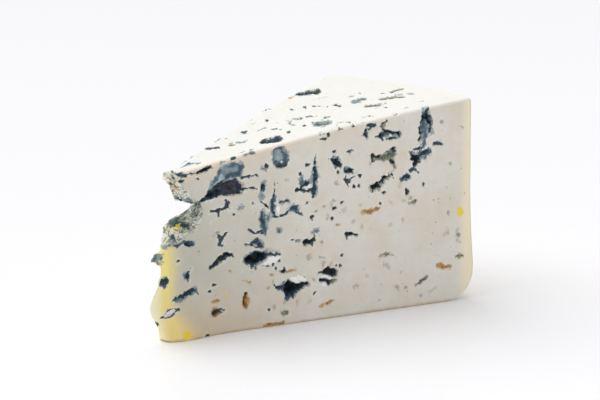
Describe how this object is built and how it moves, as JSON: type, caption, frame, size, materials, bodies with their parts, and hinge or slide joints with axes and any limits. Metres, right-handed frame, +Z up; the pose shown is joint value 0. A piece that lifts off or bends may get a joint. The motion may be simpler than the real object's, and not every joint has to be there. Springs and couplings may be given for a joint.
{
  "type": "gorgonzola wedge",
  "caption": "Wedge of blue-veined cheese that stands on its rind, cut from the lower half of a wheel, with mould-lined holes in its cut faces and a broken tip.",
  "frame": {"origin": "middle of the wedge's length and width, at its foot", "axes": "+X runs along the wedge's bisector from the broken tip to the curved rind, +Z is up, and -Y is the side of the larger cut face in the picture"},
  "size_m": [0.1558, 0.0916, 0.0919],
  "materials": {
    "paste": "moist matt, creamy white with blue-green mould in the holes and veins and a yellowish rim at the rind"
  },
  "bodies": {
    "root": {"cheese_wedge": "paste"}
  },
  "joints": []
}
